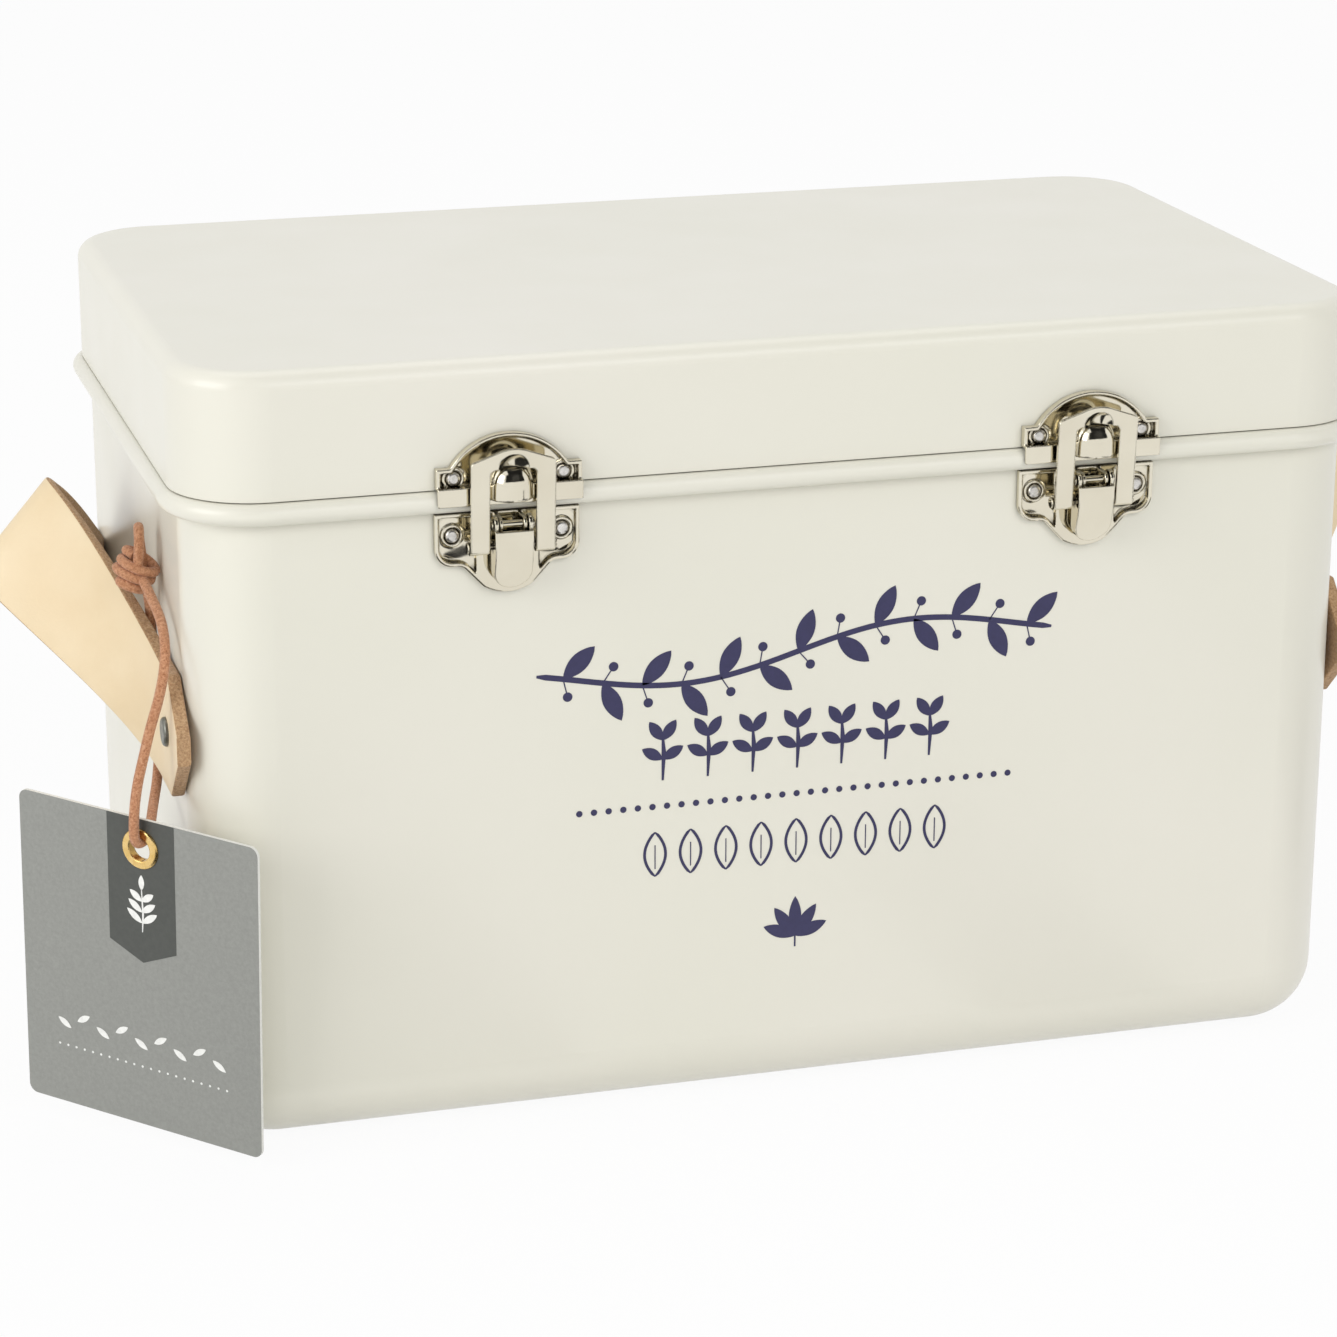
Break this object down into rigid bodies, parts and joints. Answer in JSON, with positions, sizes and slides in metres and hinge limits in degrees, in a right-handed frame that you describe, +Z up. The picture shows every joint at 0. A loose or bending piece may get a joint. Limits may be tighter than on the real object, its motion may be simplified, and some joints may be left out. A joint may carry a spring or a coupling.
{
  "type": "garden seed organizer box",
  "caption": "Painted steel box with a hinged lid, draw latches, leather handles and month cards that file garden seed packets.",
  "frame": {"origin": "middle of the box body's footprint, on the surface it stands on", "axes": "+Z up, +Y towards the hinges at the back, the latches face -Y, +X to the right seen from the front"},
  "size_m": [0.397, 0.2061, 0.2045],
  "materials": {
    "cream_paint": "satin cream powder coat",
    "nickel": "bright nickel plate",
    "rivet_steel": "zinc plated",
    "natural_leather": "smooth vegetable tanned leather",
    "lace_leather": "round leather lace",
    "eyelet_brass": "polished",
    "tag_board": "matt printed board",
    "index_card": "matt board"
  },
  "bodies": {
    "root": {"body_shell": "cream_paint", "body_bottom": "cream_paint", "body_rim": "cream_paint", "partition": "cream_paint", "partition_channels": "cream_paint", "base_plate_left": "nickel", "lever_pin_left": "nickel", "hinge_body_leaf_left": "nickel", "hinge_pin_left": "nickel", "base_rivets_left": "rivet_steel", "hinge_body_rivets_left": "rivet_steel", "handle_rivets_left": "rivet_steel", "handle_burrs_left": "rivet_steel", "handle_strap_left": "natural_leather", "base_plate_right": "nickel", "lever_pin_right": "nickel", "hinge_body_leaf_right": "nickel", "hinge_pin_right": "nickel", "base_rivets_right": "rivet_steel", "hinge_body_rivets_right": "rivet_steel", "handle_rivets_right": "rivet_steel", "handle_burrs_right": "rivet_steel", "handle_strap_right": "natural_leather", "month_card_01": "index_card", "month_card_02": "index_card", "month_card_03": "index_card", "month_card_04": "index_card", "month_card_05": "index_card", "month_card_06": "index_card", "month_card_07": "index_card", "month_card_08": "index_card", "month_card_09": "index_card", "month_card_10": "index_card", "month_card_11": "index_card", "month_card_12": "index_card", "tag_card": "tag_board", "tag_eyelet": "eyelet_brass", "tag_cord": "lace_leather", "tag_knot": "lace_leather"},
    "lid": {"lid_shell": "cream_paint", "catch_plate_left": "nickel", "catch_rivets_left": "rivet_steel", "hinge_lid_leaf_left": "nickel", "hinge_lid_rivets_left": "rivet_steel", "catch_plate_right": "nickel", "catch_rivets_right": "rivet_steel", "hinge_lid_leaf_right": "nickel", "hinge_lid_rivets_right": "rivet_steel"},
    "lever_left": {"latch_lever_left": "nickel", "frame_pin_left": "nickel"},
    "frame_left": {"latch_frame_left": "nickel"},
    "lever_right": {"latch_lever_right": "nickel", "frame_pin_right": "nickel"},
    "frame_right": {"latch_frame_right": "nickel"}
  },
  "joints": [
    {"name": "lid_hinge", "type": "hinge", "parent": "root", "child": "lid", "pos_m": [0, 0.0981, 0.1705], "axis": [-1, 0, 0], "range_deg": [0, 105]},
    {"name": "lever_left_turn", "type": "hinge", "parent": "root", "child": "lever_left", "pos_m": [-0.0765, -0.0971, 0.164], "axis": [-1, 0, 0], "range_deg": [0, 120]},
    {"name": "frame_left_turn", "type": "hinge", "parent": "lever_left", "child": "frame_left", "pos_m": [-0.0765, -0.0963, 0.15831], "axis": [1, 0, 0], "range_deg": [0, 144]},
    {"name": "lever_right_turn", "type": "hinge", "parent": "root", "child": "lever_right", "pos_m": [0.0765, -0.0971, 0.164], "axis": [-1, 0, 0], "range_deg": [0, 120]},
    {"name": "frame_right_turn", "type": "hinge", "parent": "lever_right", "child": "frame_right", "pos_m": [0.0765, -0.0963, 0.15831], "axis": [1, 0, 0], "range_deg": [0, 144]}
  ],
  "couplings": [
    {"joint": "frame_left_turn", "follows": "lever_left_turn", "ratio": 1.2},
    {"joint": "frame_right_turn", "follows": "lever_right_turn", "ratio": 1.2}
  ]
}
